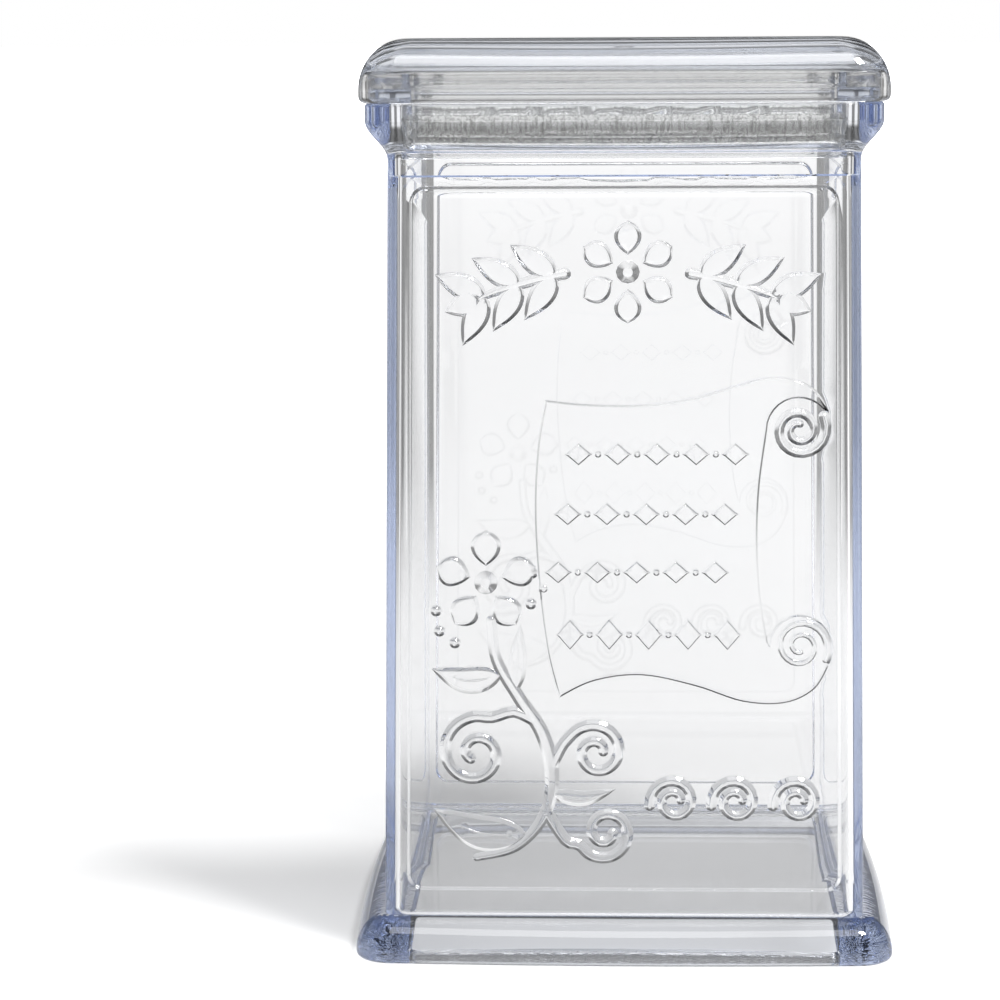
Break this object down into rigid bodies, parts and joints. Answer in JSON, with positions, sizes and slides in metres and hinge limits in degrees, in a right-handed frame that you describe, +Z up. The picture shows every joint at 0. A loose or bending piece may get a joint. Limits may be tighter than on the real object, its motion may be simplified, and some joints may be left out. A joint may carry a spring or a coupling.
{
  "type": "sugar jar",
  "caption": "Tall square storage jar of clear plastic for sugar, with a spreading foot, sunken side panels and a lift-off lid whose sealed plug drops into the mouth.",
  "frame": {"origin": "middle of the foot's outline, on the surface that the jar stands on", "axes": "+Z up through the lid, -Y out of the decorated front, +X to the right as seen from the front"},
  "size_m": [0.0928, 0.0928, 0.1543],
  "materials": {
    "clear_plastic": "clear, polished, very faint blue where it is thick",
    "frosted_seal": "soft, frosted, mottled"
  },
  "bodies": {
    "jar": {"jar_body": "clear_plastic"},
    "lid": {"lid_cover": "clear_plastic", "lid_plug": "clear_plastic", "seal_ring": "frosted_seal"}
  },
  "joints": [
    {"name": "lid_lift", "type": "slide", "parent": "jar", "child": "lid", "axis": [0, 0, 1], "range_m": [0, 0.05]}
  ]
}
